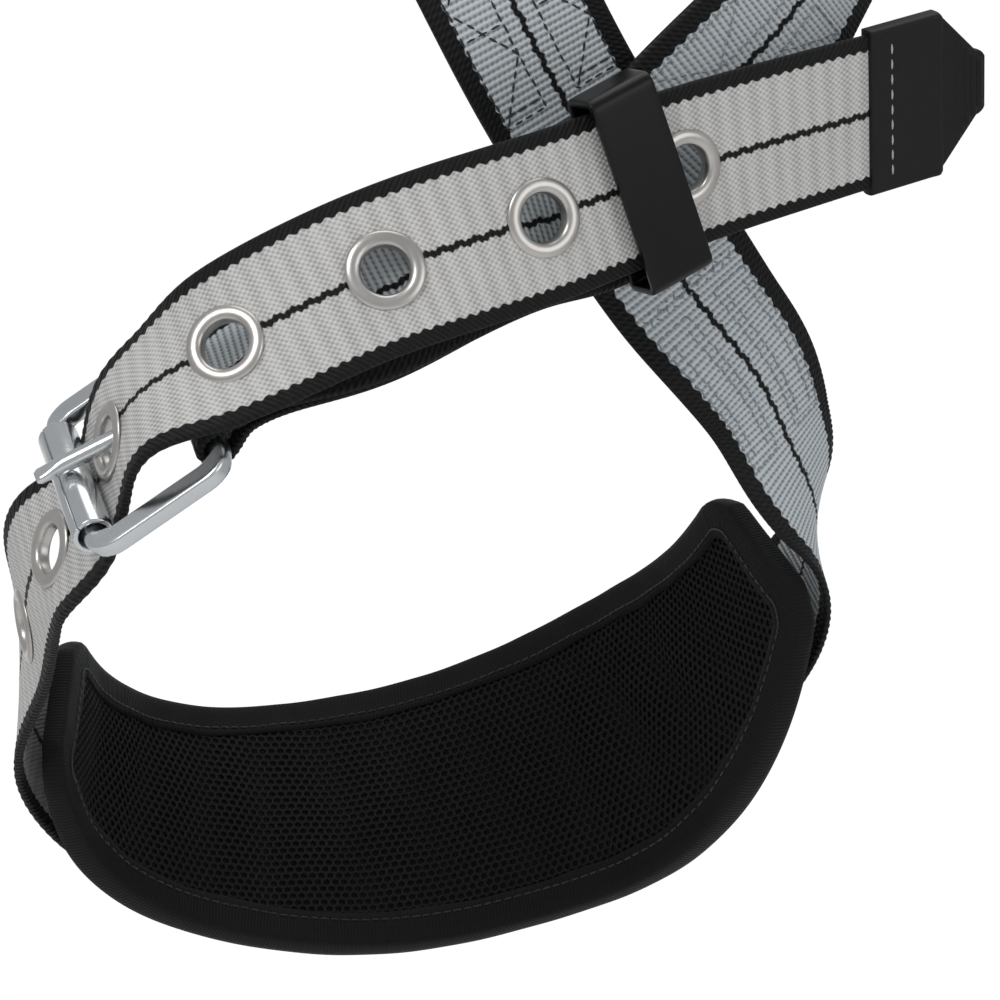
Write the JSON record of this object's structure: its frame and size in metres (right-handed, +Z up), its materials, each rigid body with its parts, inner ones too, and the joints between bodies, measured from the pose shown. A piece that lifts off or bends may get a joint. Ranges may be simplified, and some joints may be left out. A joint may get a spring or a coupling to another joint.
{
  "type": "harness leg loop",
  "caption": "Padded leg loop of a safety harness: crossed webbing straps, eyeleted tongue strap, roller tongue buckle, loose keeper and moulded strap tip.",
  "frame": {"origin": "centre of the riser eye's bore, the sewn eye at the top of the thigh strap, from which the loop hangs", "axes": "+Z up as the loop hangs, +X along the riser eye's bore towards the strap tip's side, +Y from the buckle side to the padded side"},
  "size_m": [0.2758, 0.2291, 0.3407],
  "materials": {
    "webbing_silver": "fine woven, warm silver grey",
    "webbing_blue_grey": "ribbed woven, blue grey",
    "leg_pad_mesh_face": "black spacer mesh",
    "leg_pad_foam": "black closed-cell foam under fabric",
    "leg_pad_outer_cover": "black woven cloth",
    "leg_pad_binding": "black ribbed grosgrain",
    "buckle_frame_steel": "polished zinc plate",
    "buckle_roller_steel": "polished zinc plate",
    "buckle_tongue_steel": "polished zinc plate",
    "eyelet_nickel": "satin nickel",
    "washer_nickel": "satin nickel",
    "keeper": "satin black",
    "strap_tip": "satin black",
    "thread_dark": "dark thread",
    "thread_grey": "blue grey thread",
    "thread_light": "light grey thread"
  },
  "bodies": {
    "loop": {"anchor_eye_loop": "webbing_blue_grey", "buckle_frame": "buckle_frame_steel", "buckle_strap": "webbing_blue_grey", "eyelet_1": "eyelet_nickel", "eyelet_2": "eyelet_nickel", "eyelet_3": "eyelet_nickel", "eyelet_4": "eyelet_nickel", "eyelet_5": "eyelet_nickel", "eyelet_6": "eyelet_nickel", "eyelet_7": "eyelet_nickel", "leg_pad_binding": "leg_pad_binding", "leg_pad_foam": "leg_pad_foam", "leg_pad_mesh_face": "leg_pad_mesh_face", "leg_pad_outer_cover": "leg_pad_outer_cover", "riser_eye_loop": "webbing_blue_grey", "stitch_anchor_box": "thread_grey", "stitch_pad_end": "thread_dark", "stitch_riser_eye": "thread_dark", "stitch_thigh_box": "thread_grey", "thigh_strap": "webbing_blue_grey", "tongue_strap": "webbing_silver", "washer_1": "washer_nickel", "washer_2": "washer_nickel", "washer_3": "washer_nickel", "washer_4": "washer_nickel", "washer_5": "washer_nickel", "washer_6": "washer_nickel", "washer_7": "washer_nickel"},
    "roller": {"buckle_roller": "buckle_roller_steel"},
    "tongue": {"buckle_tongue": "buckle_tongue_steel"},
    "keeper": {"keeper": "keeper"},
    "tail": {"tongue_strap_tail": "webbing_silver", "strap_tip": "strap_tip", "stitch_tip": "thread_light"}
  },
  "joints": [
    {"name": "roller_spin", "type": "hinge", "parent": "loop", "child": "roller", "pos_m": [-0.0954, -0.00983, -0.18236], "axis": [0.2914, -0.767, -0.5717], "continuous": true},
    {"name": "tongue_lift", "type": "hinge", "parent": "loop", "child": "tongue", "pos_m": [-0.0625, -0.014, -0.16], "axis": [-0.2914, 0.767, 0.5717], "range_deg": [0, 1.8]},
    {"name": "keeper_slide", "type": "slide", "parent": "loop", "child": "keeper", "axis": [0.8404, 0.4358, 0.322], "range_m": [-0.004, 0.008]},
    {"name": "tail_flex", "type": "hinge", "parent": "loop", "child": "tail", "pos_m": [0.08949, 0.01185, -0.08917], "axis": [-0.1113, -0.4054, 0.9073], "range_deg": [-28, 4], "stiffness_Nm_per_rad": 0.3}
  ]
}
